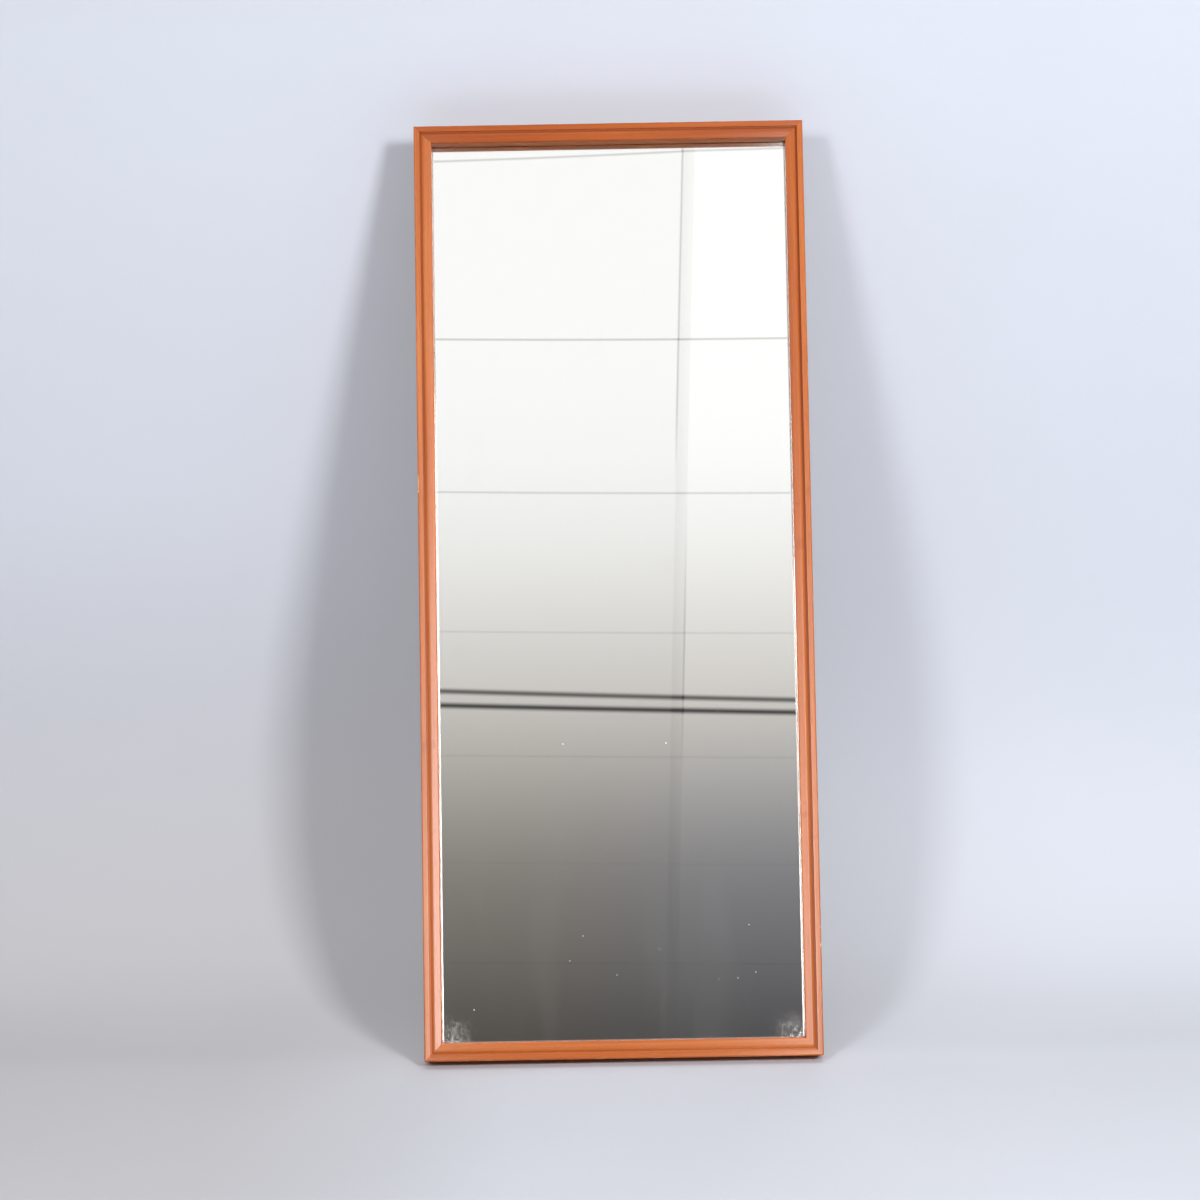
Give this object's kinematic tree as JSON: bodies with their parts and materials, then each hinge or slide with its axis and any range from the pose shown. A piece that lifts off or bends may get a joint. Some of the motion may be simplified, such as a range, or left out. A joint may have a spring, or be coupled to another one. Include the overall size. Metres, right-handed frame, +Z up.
{
  "type": "wall mirror",
  "caption": "Tall slim wall mirror in a mitred teak frame with a fine groove round its face, a hardboard back and swinging hanger rings.",
  "frame": {"origin": "middle of the frame's lower back edge, where its back plane meets its underside", "axes": "+X to the right seen from the front, +Y out of the back towards the wall, +Z up the mirror"},
  "size_m": [0.4, 0.034, 0.955],
  "materials": {
    "teak": "oiled and thinly lacquered, satin",
    "beech": "sawn",
    "glass": "polished float glass",
    "silvering": "silvered, painted behind",
    "paper": "kraft paper, matte",
    "hardboard": "pressed hardboard, matte mesh back",
    "cork": "cork, matte",
    "steel": "plain bright steel, dulled",
    "brass": "aged brass"
  },
  "bodies": {
    "mirror": {"stile_left": "teak", "stile_right": "teak", "rail_top": "teak", "rail_bottom": "teak", "spline_top_left": "beech", "spline_top_right": "beech", "spline_bottom_left": "beech", "spline_bottom_right": "beech", "mirror_glass": "glass", "silver_layer": "silvering", "backing_paper": "paper", "backboard": "hardboard", "packers_bottom": "cork", "packers_top": "cork", "packers_left": "cork", "packers_right": "cork", "backboard_brads": "steel", "hanger_tab_left": "brass", "hanger_tab_right": "brass", "hanger_screw_left": "steel", "hanger_screw_right": "steel"},
    "ring_left": {"hanger_ring_left": "brass"},
    "ring_right": {"hanger_ring_right": "brass"}
  },
  "joints": [
    {"name": "ring_left_swing", "type": "hinge", "parent": "mirror", "child": "ring_left", "pos_m": [-0.193, 0.00198, 0.805], "axis": [1, 0, 0], "range_deg": [-1.5, 181.5]},
    {"name": "ring_right_swing", "type": "hinge", "parent": "mirror", "child": "ring_right", "pos_m": [0.193, 0.00198, 0.805], "axis": [1, 0, 0], "range_deg": [-1.5, 181.5]}
  ]
}
